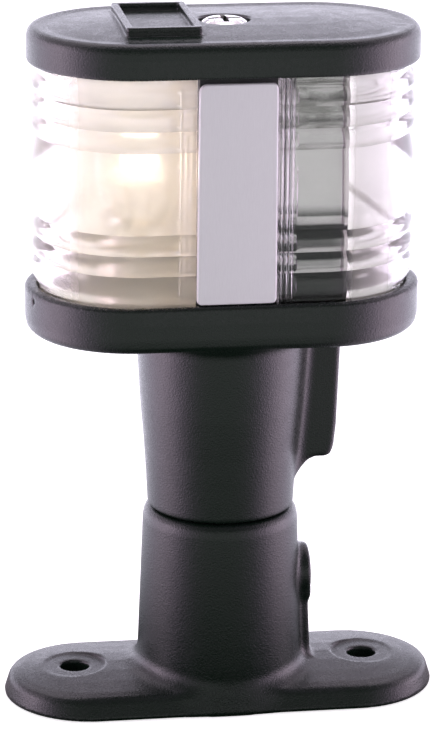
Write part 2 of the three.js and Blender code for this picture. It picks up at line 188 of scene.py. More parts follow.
def skin(field, lo, hi, pitch):
    """A closed quad mesh on the zero surface of a distance field, with how convex and how hollow it is at each vertex."""
    lo, hi = np.array(lo, float), np.array(hi, float)
    n = np.ceil((hi - lo) / pitch).astype(int) + 1
    ax = [lo[i] + pitch * np.arange(n[i]) for i in range(3)]
    V = np.empty(tuple(n), np.float32)
    for i in range(0, n[0], 12):
        V[i:i + 12] = field(ax[0][i:i + 12, None, None], ax[1][None, :, None], ax[2][None, None, :])
    S = V < 0
    cells = n - 1
    stride = np.array([cells[1] * cells[2], cells[2], 1])
    keys, points, quads = [], [], []
    for a in range(3):
        u, w = (a + 1) % 3, (a + 2) % 3
        s0, s1 = [slice(None)] * 3, [slice(None)] * 3
        s0[a], s1[a] = slice(0, -1), slice(1, None)
        inside = S[tuple(s0)]
        ix = np.argwhere(inside != S[tuple(s1)])
        v0, v1 = V[tuple(s0)][tuple(ix.T)], V[tuple(s1)][tuple(ix.T)]
        pos = ix.astype(float)
        pos[:, a] += v0 / (v0 - v1)
        ring = []
        for du, dw in ((-1, -1), (0, -1), (0, 0), (-1, 0)):
            c = ix.copy()
            c[:, u] += du
            c[:, w] += dw
            ring.append(c @ stride)
            keys.append(ring[-1])
            points.append(pos)
        ring = np.stack(ring, 1)
        flip = ~inside[tuple(ix.T)]
        ring[flip] = ring[flip][:, ::-1]
        quads.append(ring)
    keys, points = np.concatenate(keys), np.concatenate(points)
    found, back = np.unique(keys, return_inverse=True)
    count = np.bincount(back)
    P = np.stack([np.bincount(back, points[:, i]) / count for i in range(3)], 1) * pitch + lo
    faces = np.searchsorted(found, np.concatenate(quads))

    def at(q):
        return field(q[:, 0], q[:, 1], q[:, 2])

    def slope(q, e=0.03):
        g = np.empty_like(q)
        for i in range(3):
            d = np.zeros(3)
            d[i] = e
            g[:, i] = (at(q + d) - at(q - d)) / (2 * e)
        return g

    for _ in range(3):
        g = slope(P)
        gg = np.maximum((g * g).sum(1), 0.05)
        move = g * (at(P) / gg)[:, None]
        size = np.linalg.norm(move, axis=1)
        move *= np.minimum(1, 0.4 * pitch / np.maximum(size, 1e-9))[:, None]
        P -= move
    g = slope(P, 0.12)
    g /= np.maximum(np.linalg.norm(g, axis=1), 1e-6)[:, None]
    edge = np.clip(1 + at(P - g * 0.9) / 0.9, 0, 1)
    hollow = np.clip(1 - at(P + g * 1.6) / 1.6, 0, 1)
    return P, faces, {"edge": edge, "hollow": hollow}


class Build:
    """Collects closed parts of one piece."""

    def __init__(self):
        self.v, self.f, self.n = [], [], 0

    def add(self, verts, faces):
        verts = np.asarray(verts, float)
        self.v.append(verts)
        self.f.extend([tuple(int(i) + self.n for i in face) for face in faces])
        self.n += len(verts)
        return self

    def make(self, name, body, **kw):
        angle = kw.pop("sharp", 32)
        o = new_object(name, np.concatenate(self.v), self.f, body, **kw)
        import bmesh
        b = bmesh.new()
        b.from_mesh(o.data)
        bmesh.ops.remove_doubles(b, verts=b.verts, dist=2e-7)
        bmesh.ops.dissolve_degenerate(b, edges=b.edges, dist=1e-8)
        bmesh.ops.recalc_face_normals(b, faces=b.faces)
        b.to_mesh(o.data)
        b.free()
        if angle:
            o.data.set_sharp_from_angle(angle=math.radians(angle))
        return o


def grid_faces(rows, cols, wrap_rows=False, wrap_cols=False):
    out = []
    for i in range(rows if wrap_rows else rows - 1):
        for j in range(cols if wrap_cols else cols - 1):
            i1, j1 = (i + 1) % rows, (j + 1) % cols
            out.append((i * cols + j, i1 * cols + j, i1 * cols + j1, i * cols + j1))
    return out


def revolve(profile, segments=96, centre=(0, 0, 0), axis="Z", closed=True):
    """profile holds [r, z] pairs. closed joins its last point to its first; otherwise it starts and ends on the axis."""
    pr = np.asarray(profile, float)
    t = np.linspace(0, 2 * np.pi, segments, endpoint=False)
    r, z = pr[:, 0], pr[:, 1]
    x = np.cos(t)[:, None] * r[None, :]
    y = np.sin(t)[:, None] * r[None, :]
    zz = np.broadcast_to(z[None, :], x.shape)
    if axis == "Z":
        v = np.stack([x, y, zz], -1)
    elif axis == "X":
        v = np.stack([zz, x, y], -1)
    else:
        v = np.stack([y, zz, x], -1)
    v = v.reshape(-1, 3) + np.array(centre, float)
    return v, grid_faces(segments, len(pr), True, closed)


def stadium_path(half, arc=48, straight=14):
    """Points [centre x, normal x, normal y] once around a stadium."""
    out = []
    for s in np.linspace(-half, half, straight, endpoint=False):
        out.append((s, 0.0, -1.0))
    for a in np.linspace(-90, 90, arc, endpoint=False):
        out.append((half, math.cos(math.radians(a)), math.sin(math.radians(a))))
    for s in np.linspace(half, -half, straight, endpoint=False):
        out.append((s, 0.0, 1.0))
    for a in np.linspace(90, 270, arc, endpoint=False):
        out.append((-half, math.cos(math.radians(a)), math.sin(math.radians(a))))
    return out


def stadium_ring(half, profile, arc=48, straight=14):
    """A closed ring: profile holds [q, z] pairs, q being the distance from the middle segment."""
    path = np.array(stadium_path(half, arc, straight))
    pr = np.asarray(profile, float)
    v = np.empty((len(path), len(pr), 3))
    v[:, :, 0] = path[:, None, 0] + pr[None, :, 0] * path[:, None, 1]
    v[:, :, 1] = pr[None, :, 0] * path[:, None, 2]
    v[:, :, 2] = pr[None, :, 1]
    return v.reshape(-1, 3), grid_faces(len(path), len(pr), True, True)


def slab(outline, y0, y1, bevel, steps=3, turn=False):
    """A plate across Y with rounded edges. outline holds [x, z] pairs. turn gives its twin on the other side of the object."""
    pts = np.asarray(outline, float)
    nxt, prv = np.roll(pts, -1, 0), np.roll(pts, 1, 0)
    tangent = nxt - prv
    tangent /= np.linalg.norm(tangent, axis=1)[:, None]
    area = 0.5 * np.sum(pts[:, 0] * nxt[:, 1] - nxt[:, 0] * pts[:, 1])
    inward = np.stack([-tangent[:, 1], tangent[:, 0]], 1) * (1 if area > 0 else -1)
    rings = []
    for s in range(steps + 1):
        a = math.pi / 2 * s / steps
        rings.append((bevel * (1 - math.sin(a)), y0 + bevel * (1 - math.cos(a))))
    for s in range(steps + 1):
        a = math.pi / 2 * s / steps
        rings.append((bevel * (1 - math.cos(a)), y1 - bevel * (1 - math.sin(a))))
    v = []
    for inset, y in rings:
        p = pts + inward * inset
        v.append(np.stack([p[:, 0], np.full(len(p), y), p[:, 1]], 1))
    n = len(pts)
    v = np.concatenate(v)
    faces = grid_faces(len(rings), n, False, True)
    faces.append(tuple(range(n)))
    faces.append(tuple(reversed(range((len(rings) - 1) * n, len(rings) * n))))
    if turn:
        v = v * np.array([-1, -1, 1])
    return v, faces


def ribbon(path, thickness, z0, z1, radius, steps=6):
    """A bent sheet standing on edge: path holds [x, y] pairs of its middle line."""
    pts = np.asarray(path, float)
    line = []
    for i, p in enumerate(pts):
        if i in (0, len(pts) - 1):
            line.append(p)
            continue
        u, w = pts[i - 1] - p, pts[i + 1] - p
        u, w = u / np.linalg.norm(u), w / np.linalg.norm(w)
        half = math.acos(float(np.clip(u @ w, -1, 1))) / 2
        t = radius / math.tan(half)
        c = p + (u + w) / np.linalg.norm(u + w) * radius / math.sin(half)
        p0, p1 = p + u * t - c, p + w * t - c
        a0, a1 = math.atan2(p0[1], p0[0]), math.atan2(p1[1], p1[0])
        d = (a1 - a0 + math.pi) % (2 * math.pi) - math.pi
        for s in range(steps + 1):
            a = a0 + d * s / steps
            line.append(c + radius * np.array([math.cos(a), math.sin(a)]))
    line = np.array(line)
    tangent = np.gradient(line, axis=0)
    for i in range(1, len(line) - 1):
        a = line[i] - line[i - 1]
        b = line[i + 1] - line[i]
        tangent[i] = a / np.linalg.norm(a) + b / np.linalg.norm(b)
    tangent /= np.linalg.norm(tangent, axis=1)[:, None]
    side = np.stack([-tangent[:, 1], tangent[:, 0]], 1)
    h, e = thickness / 2, thickness * 0.28
    section = [(-h, z0 + e), (-h + e, z0), (h - e, z0), (h, z0 + e), (h, z1 - e), (h - e, z1), (-h + e, z1), (-h, z1 - e)]
    v = []
    for p, s in zip(line, side):
        for off, z in section:
            q = p + s * off
            v.append((q[0], q[1], z))
    k = len(section)
    faces = grid_faces(len(line), k, False, True)
    faces.append(tuple(range(k)))
    faces.append(tuple(reversed(range((len(line) - 1) * k, len(line) * k))))
    return np.array(v), faces


def coil(points, radius, sides=10):
    """A round wire along points, with closed ends."""
    p = np.asarray(points, float)
    t = np.gradient(p, axis=0)
    t /= np.linalg.norm(t, axis=1)[:, None]
    up = np.array([0.0, 0.0, 1.0]) if abs(t[0][2]) < 0.9 else np.array([1.0, 0.0, 0.0])
    v = []
    a = np.linspace(0, 2 * np.pi, sides, endpoint=False)
    n = np.cross(t[0], up)
    for i in range(len(p)):
        n = n - t[i] * (n @ t[i])
        n /= np.linalg.norm(n)
        b = np.cross(t[i], n)
        v.append(p[i] + radius * (np.cos(a)[:, None] * n + np.sin(a)[:, None] * b))
    faces = grid_faces(len(p), sides, False, True)
    faces.append(tuple(range(sides)))
    faces.append(tuple(reversed(range((len(p) - 1) * sides, len(p) * sides))))
    return np.concatenate(v), faces


# ------------------------------------------------------------------ materials


class Nodes:
    def __init__(self, name):
        self.m = bpy.data.materials.new(name)
        self.m.use_nodes = True
        self.t = self.m.node_tree
        self.t.nodes.clear()
        self.out = self.t.nodes.new("ShaderNodeOutputMaterial")
        self.coord = self.t.nodes.new("ShaderNodeTexCoord").outputs["Object"]

    def put(self, node, key, value):
        socket = node.inputs[key]
        if isinstance(value, bpy.types.NodeSocket):
            self.t.links.new(value, socket)
        else:
            socket.default_value = value

    def noise(self, scale, detail=3.0, rough=0.5, stretch=(1, 1, 1), distortion=0.0):
        """scale in features to a millimetre."""
        m = self.t.nodes.new("ShaderNodeMapping")
        self.put(m, "Vector", self.coord)
        m.inputs["Scale"].default_value = [1000 * scale * s for s in stretch]
        n = self.t.nodes.new("ShaderNodeTexNoise")
        self.put(n, "Vector", m.outputs[0])
        n.inputs["Scale"].default_value = 1.0
        n.inputs["Detail"].default_value = detail
        n.inputs["Roughness"].default_value = rough
        n.inputs["Distortion"].default_value = distortion
        return n.outputs["Fac"]

    def cells(self, scale, feature="F1"):
        m = self.t.nodes.new("ShaderNodeMapping")
        self.put(m, "Vector", self.coord)
        m.inputs["Scale"].default_value = [1000 * scale] * 3
        n = self.t.nodes.new("ShaderNodeTexVoronoi")
        n.feature = feature
        self.put(n, "Vector", m.outputs[0])
        n.inputs["Scale"].default_value = 1.0
        return n.outputs["Distance"]

    def span(self, value, a, b, c, d, smooth=False):
        n = self.t.nodes.new("ShaderNodeMapRange")
        if smooth:
            n.interpolation_type = "SMOOTHSTEP"
        self.put(n, "Value", value)
        for key, x in zip(("From Min", "From Max", "To Min", "To Max"), (a, b, c, d)):
            n.inputs[key].default_value = x
        return n.outputs[0]

    def math(self, op, a, b=0.0):
        n = self.t.nodes.new("ShaderNodeMath")
        n.operation = op
        self.put(n, 0, a)
        self.put(n, 1, b)
        return n.outputs[0]

    def mix(self, fac, a, b):
        n = self.t.nodes.new("ShaderNodeMix")
        n.data_type = "RGBA"
        self.put(n, 0, fac)
        self.put(n, 6, a if isinstance(a, bpy.types.NodeSocket) else (*a, 1))
        self.put(n, 7, b if isinstance(b, bpy.types.NodeSocket) else (*b, 1))
        return n.outputs[2]

    def attribute(self, name):
        n = self.t.nodes.new("ShaderNodeAttribute")
        n.attribute_name = name
        return n.outputs["Fac"]

    def along(self, axis):
        s = self.t.nodes.new("ShaderNodeSeparateXYZ")
        self.put(s, 0, self.coord)
        return s.outputs[axis]

    def height(self):
        return self.along("Z")

    def up(self):
        g = self.t.nodes.new("ShaderNodeNewGeometry")
        s = self.t.nodes.new("ShaderNodeSeparateXYZ")
        self.t.links.new(g.outputs["Normal"], s.inputs[0])
        return s.outputs["Z"]

    def bump(self, height, metres, strength=1.0, normal=None):
        n = self.t.nodes.new("ShaderNodeBump")
        n.inputs["Strength"].default_value = strength
        n.inputs["Distance"].default_value = metres
        self.put(n, "Height", height)
        if normal is not None:
            self.put(n, "Normal", normal)
        return n.outputs[0]

    def principled(self, **values):
        n = self.t.nodes.new("ShaderNodeBsdfPrincipled")
        for key, value in values.items():
            self.put(n, key.replace("_", " "), (*value, 1) if isinstance(value, tuple) and len(value) == 3 else value)
        return n


def black_polymer(name, dark=(0.0018, 0.0066, 0.0036), light=(0.0034, 0.0092, 0.0056), rough=(0.24, 0.33), grain=1.0):
    k = Nodes(name)
    broad = k.noise(0.05, 4, 0.6)
    cloud = k.noise(0.35, 3, 0.6)
    fine = k.noise(3.6, 2, 0.65)
    pit = k.cells(2.9)
    edge = k.span(k.attribute("edge"), 0.25, 0.7, 0.0, 1.0, True)
    hollow = k.span(k.attribute("hollow"), 0.35, 0.8, 0.0, 1.0, True)
    rub = k.math("MULTIPLY", edge, k.span(k.noise(0.9, 4, 0.7), 0.38, 0.66, 0.15, 1.0))
    dust = k.math("MULTIPLY", k.span(k.up(), 0.3, 1.0, 0.0, 1.0, True), k.span(k.noise(0.22, 5, 0.7), 0.42, 0.75, 0.0, 0.35))
    colour = k.mix(k.span(broad, 0.35, 0.65, 0, 1), dark, light)
    colour = k.mix(k.span(fine, 0.45, 0.8, 0, 0.3), colour, (0.011, 0.014, 0.013))
    colour = k.mix(k.math("MULTIPLY", rub, 0.35), colour, (0.028, 0.03, 0.03))
    # painted shade: the plastic is darkened in hollows and recesses
    colour = k.mix(k.math("MULTIPLY", hollow, 0.4), colour, (0.004, 0.005, 0.0045))
    colour = k.mix(dust, colour, (0.022, 0.022, 0.028))
    r = k.math("ADD", k.span(cloud, 0.3, 0.7, rough[0], rough[1]), k.span(fine, 0.35, 0.7, -0.04, 0.05))
    r = k.math("SUBTRACT", r, k.math("MULTIPLY", rub, 0.08))
    r = k.math("ADD", r, k.math("MULTIPLY", hollow, 0.1))
    scratch = k.span(k.noise(0.8, 2, 0.5, (0.05, 1.0, 6.0), 0.2), 0.66, 0.72, 0, 1)
    r = k.math("ADD", r, k.math("MULTIPLY", scratch, 0.05))
    n = k.bump(k.noise(0.09, 2, 0.5), 0.00022, 0.25)
    n = k.bump(fine, 0.00005 * grain, 1.0, n)
    n = k.bump(pit, 0.000035 * grain, 0.8, n)
    r = k.math("ADD", r, k.span(k.noise(3.8, 2, 0.6), 0.36, 0.64, 0.045, -0.04))
    p = k.principled(Base_Color=colour, Roughness=r, Normal=n)
    p.inputs["Specular IOR Level"].default_value = 0.5
    p.inputs["Specular Tint"].default_value = (1.0, 0.95, 1.0, 1)
    p.inputs["IOR"].default_value = 1.5
    k.t.links.new(p.outputs[0], k.out.inputs[0])
    return k.m


def metal(name, colour, tint, rough, brush=(1, 1, 1), dirt=0.25, bump_mm=0.02, metallic=1.0, dirt_and_shade_colour=(0.12, 0.1, 0.085), scale=2.2, foot=None):
    k = Nodes(name)
    streak = k.noise(scale, 4, 0.6, brush)
    cloud = k.noise(0.3, 4, 0.65)
    fine = k.noise(6.0, 2, 0.6)
    edge = k.attribute("edge")
    c = k.mix(k.span(streak, 0.3, 0.7, 0, 1), colour, tint)
    grime = k.math("MULTIPLY", k.span(cloud, 0.5, 0.75, 0, dirt), k.span(fine, 0.35, 0.7, 0.4, 1.0))
    c = k.mix(grime, c, dirt_and_shade_colour)
    # painted shade: hollows such as screw slots are darkened to three tenths of the dirt colour
    c = k.mix(k.span(k.attribute("hollow"), 0.3, 0.75, 0.0, 0.8, True), c, tuple(0.3 * v for v in dirt_and_shade_colour))
    if foot:
        # painted reflection: dark bands at the pitch of the lens ribs, low on the sheet and solid at its foot, where
        # the ribs show the dark tray below
        low = k.span(k.height(), foot[0], foot[1], 1.0, 0.0, True)
        band = k.span(k.math("SINE", k.math("MULTIPLY", k.math("SUBTRACT", k.height(), 0.0029), 2 * math.pi / 0.0041)), 0.1, 0.7, 1.0, 0.1, True)
        band = k.math("MAXIMUM", band, k.span(k.height(), 0.0868, 0.0882, 0.95, 0.0, True))
        c = k.mix(k.math("MULTIPLY", low, band), c, (0.016, 0.015, 0.016))
        # painted shade: darker streaks high on the sheet
        high = k.span(k.height(), 0.1125, 0.1145, 0.0, 1.0, True)
        c = k.mix(k.math("MULTIPLY", high, k.span(k.noise(0.9, 4, 0.7, (0.12, 0.12, 1.6)), 0.42, 0.58, 0.25, 0.85)), c, (0.30, 0.285, 0.27))
    r = k.math("ADD", k.span(streak, 0.3, 0.7, rough[0], rough[1]), k.span(cloud, 0.35, 0.7, -0.03, 0.08))
    r = k.math("SUBTRACT", r, k.math("MULTIPLY", edge, 0.05))
    n = k.bump(streak, bump_mm * MM, 0.5)
    n = k.bump(fine, bump_mm * 0.3 * MM, 0.35, n)
    p = k.principled(Base_Color=c, Roughness=r, Normal=n)
    p.inputs["Metallic"].default_value = metallic
    k.t.links.new(p.outputs[0], k.out.inputs[0])
    return k.m


def matt(name, a, b, rough=(0.4, 0.55), grain_mm=0.03, speck=(0.3, 0.3, 0.3), specular=0.5, subsurface=0.0, scale=1.4):
    k = Nodes(name)
    broad, fine = k.noise(0.08, 4, 0.6), k.noise(scale, 4, 0.65)
    c = k.mix(k.span(broad, 0.35, 0.65, 0, 1), a, b)
    c = k.mix(k.span(k.noise(0.6, 5, 0.7), 0.62, 0.8, 0, 0.3), c, speck)
    r = k.math("ADD", k.span(broad, 0.3, 0.7, rough[0], rough[1]), k.span(fine, 0.35, 0.7, -0.04, 0.05))
    n = k.bump(k.noise(0.12, 2, 0.5), 0.00015, 0.2)
    n = k.bump(fine, grain_mm * MM, 0.45, n)
    p = k.principled(Base_Color=c, Roughness=r, Normal=n)
    p.inputs["Specular IOR Level"].default_value = specular
    p.inputs["Subsurface Weight"].default_value = subsurface
    if subsurface:
        p.inputs["Subsurface Radius"].default_value = (0.002, 0.0017, 0.0014)
        p.inputs["Subsurface Scale"].default_value = 1.0
    k.t.links.new(p.outputs[0], k.out.inputs[0])
    return k.m


def glass(name, tint, tint2, ior, rough=(0.0, 0.02), wave_mm=0.02, painted_glow_haze=0.0, painted_glow_colour=(0.95, 0.9, 0.8), start=None):
    k = Nodes(name)
    cloud, fine = k.noise(0.12, 3, 0.5), k.noise(0.9, 3, 0.6)
    c = k.mix(k.span(cloud, 0.35, 0.65, 0, 1), tint, tint2)
    r = k.span(fine, 0.35, 0.75, rough[0], rough[1])
    n = k.bump(k.noise(0.25, 2, 0.5), wave_mm * MM, 0.35)
    g = k.t.nodes.new("ShaderNodeBsdfGlass")
    k.put(g, "Color", c)
    k.put(g, "Roughness", r)
    g.inputs["IOR"].default_value = ior
    k.put(g, "Normal", n)
    body = g
    if painted_glow_haze:
        # painted light: a cream translucent layer over the clear glass stands in for the pale glow seen behind the lens
        painted_glow_layer = k.t.nodes.new("ShaderNodeBsdfTranslucent")
        k.put(painted_glow_layer, "Color", k.mix(k.span(cloud, 0.3, 0.7, 0, 1), painted_glow_colour, tuple(0.93 * v for v in painted_glow_colour)))
        k.put(painted_glow_layer, "Normal", n)
        body = k.t.nodes.new("ShaderNodeMixShader")
        # painted light: the layer is placed by position along X. It fades toward the lens ends and, when start is
        # given, is nearly gone inward of start
        reach = k.span(k.math("ABSOLUTE", k.along("X")), 0.0275, 0.0325, 1.0, 0.22, True)
        if start:
            reach = k.math("MULTIPLY", reach, k.span(k.math("ABSOLUTE", k.along("X")), start[0], start[1], 0.03, 1.0, True))
        k.put(body, 0, k.math("MULTIPLY", k.span(cloud, 0.3, 0.7, painted_glow_haze * 0.95, painted_glow_haze * 1.05), reach))
        r = k.math("MULTIPLY", r, k.span(reach, 0.22, 1.0, 0.45, 1.0))
        k.put(g, "Roughness", r)
        k.t.links.new(g.outputs[0], body.inputs[1])
        k.t.links.new(painted_glow_layer.outputs[0], body.inputs[2])
    clear = k.t.nodes.new("ShaderNodeBsdfTransparent")
    clear.inputs["Color"].default_value = (0.9, 0.9, 0.88, 1)
    path = k.t.nodes.new("ShaderNodeLightPath")
    m = k.t.nodes.new("ShaderNodeMixShader")
    k.t.links.new(path.outputs["Is Shadow Ray"], m.inputs[0])
    k.t.links.new(body.outputs[0], m.inputs[1])
    k.t.links.new(clear.outputs[0], m.inputs[2])
    k.t.links.new(m.outputs[0], k.out.inputs[0])
    return k.m


def glowing(name, base, glow, strength, rough=0.5):
    k = Nodes(name)
    mottled = k.noise(2.0, 3, 0.6)
    p = k.principled(Base_Color=k.mix(k.span(mottled, 0.3, 0.7, 0, 1), base, tuple(min(1, 1.6 * c) for c in base)),
                     Roughness=k.span(mottled, 0.3, 0.7, rough, rough + 0.15), Normal=k.bump(mottled, 0.00002, 0.4))
    p.inputs["Metallic"].default_value = 0.8
    p.inputs["Emission Color"].default_value = (*glow, 1)
    p.inputs["Emission Strength"].default_value = strength
    k.t.links.new(p.outputs[0], k.out.inputs[0])
    return k.m


BLACK = black_polymer("black_polymer")
BLACK_INNER = black_polymer("black_polymer_inner", (0.006, 0.007, 0.0065), (0.013, 0.015, 0.014), (0.45, 0.6), 1.4)
# painted light: the haze on the clear lens stands in for the pale glow behind it, and starts only outward of 20.5 mm
LENS = glass("clear_lens", (0.975, 0.975, 0.98), (0.96, 0.96, 0.965), 1.49, (0.06, 0.10), 0.05, 0.34, (0.93, 0.90, 0.86), (0.0205, 0.0222))
# painted light: a lit copy of the lens material, rougher and warmer, for the half in front of the lit lamp
LENS_LIT = glass("clear_lens_lit", (0.975, 0.97, 0.965), (0.965, 0.955, 0.945), 1.49, (0.15, 0.19), 0.03, 0.34, (0.93, 0.90, 0.86))
BULB = glass("lamp_glass", (0.98, 0.98, 0.97), (0.96, 0.96, 0.94), 1.45, (0.0, 0.02), 0.03)
WHITE = matt("white_polymer", (0.80, 0.79, 0.76), (0.74, 0.73, 0.69), (0.32, 0.45), 0.02, (0.55, 0.5, 0.42), 0.5, 0.1)
PLATE = metal("satin_plate", (0.84, 0.815, 0.85), (0.79, 0.765, 0.80), (0.34, 0.44), (6, 6, 0.25), 0.06, 0.006, 0.12, (0.55, 0.52, 0.55))
# its last argument places the painted reflection bands and painted shade streaks on the shield
SHEET = metal("bright_sheet", (0.97, 0.90, 0.915), (0.89, 0.825, 0.84), (0.12, 0.19), (0.5, 0.5, 4), 0.12, 0.003, 0.85, (0.2, 0.19, 0.19), 1.2, (0.0985, 0.1012))
STEEL = metal("stainless", (0.78, 0.77, 0.76), (0.66, 0.65, 0.64), (0.12, 0.24), (1, 1, 1), 0.15, 0.01, 1.0)
DULL = metal("dull_stainless", (0.30, 0.30, 0.30), (0.20, 0.20, 0.205), (0.3, 0.42), (1, 1, 1), 0.3, 0.012, 1.0)
BRASS = metal("brass", (0.62, 0.45, 0.17), (0.52, 0.35, 0.12), (0.25, 0.4), (1, 1, 3), 0.35, 0.015, 1.0, (0.12, 0.07, 0.03))
NICKEL = metal("nickel_plate", (0.68, 0.65, 0.58), (0.55, 0.52, 0.46), (0.2, 0.32), (1, 1, 3), 0.2, 0.012, 1.0)
PHENOLIC = matt("phenolic", (0.16, 0.075, 0.035), (0.11, 0.05, 0.024), (0.35, 0.5), 0.04, (0.25, 0.14, 0.07))
RUBBER = matt("seal_rubber", (0.016, 0.016, 0.017), (0.028, 0.028, 0.029), (0.62, 0.78), 0.05, (0.06, 0.058, 0.055), 0.3)
FILAMENT = glowing("filament", (0.25, 0.24, 0.24), (1.0, 0.62, 0.28), 0.0)
LIT = glowing("filament_lit", (0.3, 0.25, 0.2), (1.0, 0.80, 0.60), 140.0)


def paint(o, *materials):
    o.data.materials.clear()
    for m in materials:
        o.data.materials.append(m)
    return o


# ------------------------------------------------------------------ mounting base

BASE_H = 25.4
flange_profile = Profile(rounded([(-60, 0), (17.1, 0), (15.5, 3.3), (14.8, 4.05), (13, 4.6), (9, 5.25), (4.5, 5.72), (0, 5.9), (-60, 5.9)],
                                 [0, 0.45, 1.0, 1.0, 1.5, 2, 2, 0, 0]))
tube_profile = Profile(rounded([(-40, 0.6), (16.2, 0.6), (16, 9), (15.5, 22.5), (15.05, 35.6), (14.75, 37.0), (14.15, 37.75), (13.3, 38.0), (-40, 38.0)],
                               [0, 0.3, 2, 2, 2, 1.2, 0.8, 0.6, 0]))
rib_profile = Profile(rounded([(10, 3.0), (18.4, 3.0), (18.1, 4.5), (17.8, 7), (17.35, 16), (17.1, 23.3), (10, 23.3)], [0, 0, 0.5, 2, 2, 0, 0]))


def base_field(x, y, z):
    half = np.interp(z, [0, 3.3, 4.05, 4.6, 5.9], [25.4, 26.0, 26.1, 26.2, 26.2])
    q = np.hypot(np.maximum(np.abs(x) - half, 0), y)
    r = np.hypot(x, y)
    zz = z + 0 * x + 0 * y
    body = smin(flange_profile(q, zz), tube_profile(r + 0 * z, zz), 3.4)
    rb = np.hypot(y, z - 23.3)
    boss = smax(smax(rb - 5.4, x - 17.4, 0.8), 8.0 - x, 0.1)
    rib = smax(rib_profile(x + 0 * z, zz - 0 * x), np.abs(y) - 3.0, 0.8)
    body = smin(body, smin(boss, rib, 1.5), 1.3)
    inner = smax(r - 12.5, 16.0 - z, 0.5)
    inner = np.minimum(inner, smax(r - 13.2, z - 12.0, 0.5))
    inner = np.minimum(inner, smax(r - 8.0, np.abs(z - 14.0) - 4.0, 0.3))
    body = smax(body, -inner, 0.7)
    screw = smax(rb - 3.0, np.maximum(x - 30.0, -x), 0.2)
    seat = smax(rb - 3.9, np.maximum(15.2 - x, x - 30), 0.15)
    body = smax(body, -np.minimum(screw, seat), 0.35)
    rh = np.hypot(np.abs(x) - 28.6, y)
    body = smax(body, -smax(rh - 6.0, 5.2 - z, 0.2), 0.25)
    body = smax(body, -(rh - 2.8 + 0 * z), 0.5)
    return body


pitch = 0.42
v, f, attr = skin(base_field, (-43.7, -18.3, -0.8), (43.7, 18.3, 39.1), pitch)
v[:, 2] = np.maximum(v[:, 2], 0.0)
mounting_base = paint(new_object("mounting_base_shell", v, f, "base", nodes=("mounting_base",), slot="black_polymer", attributes=attr), BLACK)
print("mounting_base_shell", len(f))

# ------------------------------------------------------------------ lamp body: spigot, neck and tray

neck_profile = Profile(rounded(
    [(-40, 18), (11.6, 18), (12.2, 18.6), (12.2, 21.5), (11.4, 22.3), (11.4, 24.3), (12.2, 25.1), (12.2, 31.6), (10.95, 31.6), (10.95, 34.2),
     (12.2, 34.2), (12.2, 38.3), (13.8, 38.3), (14.15, 38.7), (14.5, 45), (14.9, 51), (15.6, 59), (16.1, 67), (16.4, 72.5), (17.3, 76.4), (-40, 76.4)],
    [0, 0.3, 0.3, 0.3, 0.3, 0.3, 0.3, 0.25, 0.15, 0.15, 0.25, 0.15, 0.3, 0.5, 6, 6, 6, 6, 3, 0, 0]))
tray_profile = Profile(rounded([(-60, 73.9), (17.1, 73.9), (18.8, 74.3), (19.8, 75.3), (20.1, 76.9), (20.1, 82.7), (19.6, 83.2), (-60, 83.2)],
                               [0, 1.5, 1.5, 1.0, 1.2, 0.3, 0.3, 0]))
lug_profile = Profile(rounded(
    [(8, 44.6), (12, 44.6), (14.6, 45.0), (15.8, 45.9), (16.9, 46.9), (18.1, 47.4), (20.0, 47.4), (21.0, 47.8), (21.5, 48.7), (21.8, 50), (22.2, 54),
     (22.6, 66), (22.8, 72.5), (23.6, 76.2), (8, 76.2)], [0, 1, 1, 1, 1, 1, 1, 0.8, 0.8, 1, 3, 3, 2, 0, 0]))


def head_field(x, y, z):
    r = np.hypot(x, y)
    zz = z + 0 * x + 0 * y
    rr = r + 0 * z
    q = np.hypot(np.maximum(np.abs(x) - 17.6, 0), y) + 0 * z
    neck = neck_profile(rr, zz)
    body = smin(neck, tray_profile(q, zz), 2.6)
    lug = smax(lug_profile(x + 0 * y + 0 * z, zz), np.abs(y) - 3.3, 1.0)
    body = smin(body, lug, 2.2)
    q2 = np.hypot(np.maximum(np.abs(x) - 16.6, 0), y)
    body = smax(body, -smax(q2 - 18.8, 80.2 - z, 0.3), 0.35)
    body = smax(body, -smax(q2 - 16.2, 77.2 - z, 0.6), 0.35)
    pillar = smax(r - 4.4, np.maximum(z - 81.2, 69.9 - z), 0.3)
    ribs = smax(smax(np.abs(x) - 1.0, np.abs(np.abs(y) - 11.75) - 4.85, 0.3), np.abs(z - 78.3) - 1.8, 0.3)
    body = smin(body, np.minimum(pillar, ribs), 0.5)
    bore_r = np.interp(z, [65.5, 68.0], [10.5, 7.5])
    bore = smax((r - bore_r) * 0.8, z - 68.0, 0.3)
    ways = smax(box2(np.abs(x) - 7.4, y, 2.4, 4.6, 0.8) + 0 * z, np.abs(z - 69.5) - 9.5, 0.2)
    hole = smax(r - 3.0, np.maximum(72.0 - z, z - 90), 0.2)
    pilot = smax(r - 2.2, np.abs(z - 71.8) - 2.2, 0.1)
    small = np.hypot(np.abs(x) - 28.6, y) - 1.1
    small = smax(small, 74.0 - z, 0.1)
    cut = np.minimum(np.minimum(bore, ways), np.minimum(np.minimum(hole, pilot), small))
    body = smax(body, -cut, 0.35)
    # drain hole low on the left end of the tray
    drain = np.hypot(np.hypot(y + 6.0, z - 81.4), np.maximum(x + 34.5, 0)) - 0.5
    return smax(body, -drain, 0.25)


pitch = 0.5
v, f, attr = skin(head_field, (-38.9, -21.3, 17.2), (38.9, 21.3, 84.3), pitch)
light_body = paint(new_object("light_body_shell", v, f, "head", nodes=("light_body",), slot="black_polymer", attributes=attr), BLACK)
print("light_body_shell", len(f))

# ------------------------------------------------------------------ cap

cap_profile = Profile(rounded([(-60, 126.1), (19.8, 126.1), (20.1, 126.6), (20.05, 131.0), (19.8, 131.8), (19.2, 132.45), (18.4, 132.68), (16.2, 132.5), (13, 132.82), (6, 133.3), (0, 133.45), (-60, 133.45)],
                              [0, 0.2, 0.3, 1.0, 0.8, 0.6, 1.2, 2.5, 3, 3, 0, 0]), step=0.05)


